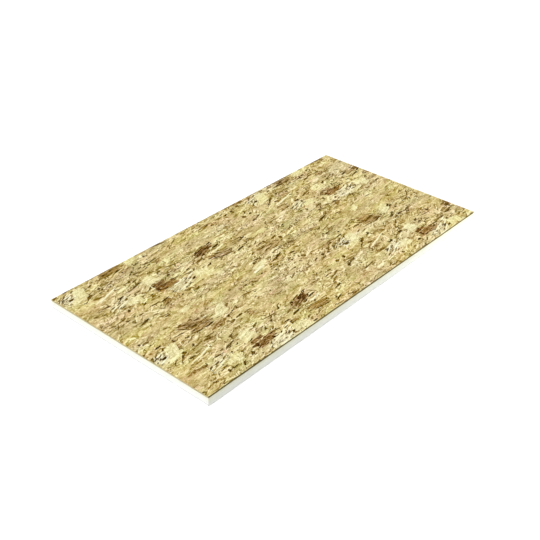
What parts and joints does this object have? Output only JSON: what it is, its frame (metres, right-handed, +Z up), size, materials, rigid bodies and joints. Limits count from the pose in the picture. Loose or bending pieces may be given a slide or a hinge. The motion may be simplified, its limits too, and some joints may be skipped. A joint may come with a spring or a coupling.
{
  "type": "nailbase roof insulation panel",
  "caption": "Flat rectangular roof panel: a square-edged oriented strand board nailing sheet bonded flush onto a rigid white foam insulation board.",
  "frame": {"origin": "middle of the underside, the foam face that lies on the roof deck", "axes": "+X along the 2438 mm length, +Y across the 1219 mm width, +Z up out of the nailing face"},
  "size_m": [2.4384, 1.2192, 0.0619],
  "materials": {
    "white_foam": "matte",
    "strand_board": "matte"
  },
  "bodies": {
    "root": {"foam_board": "white_foam", "osb_sheathing": "strand_board"}
  },
  "joints": []
}
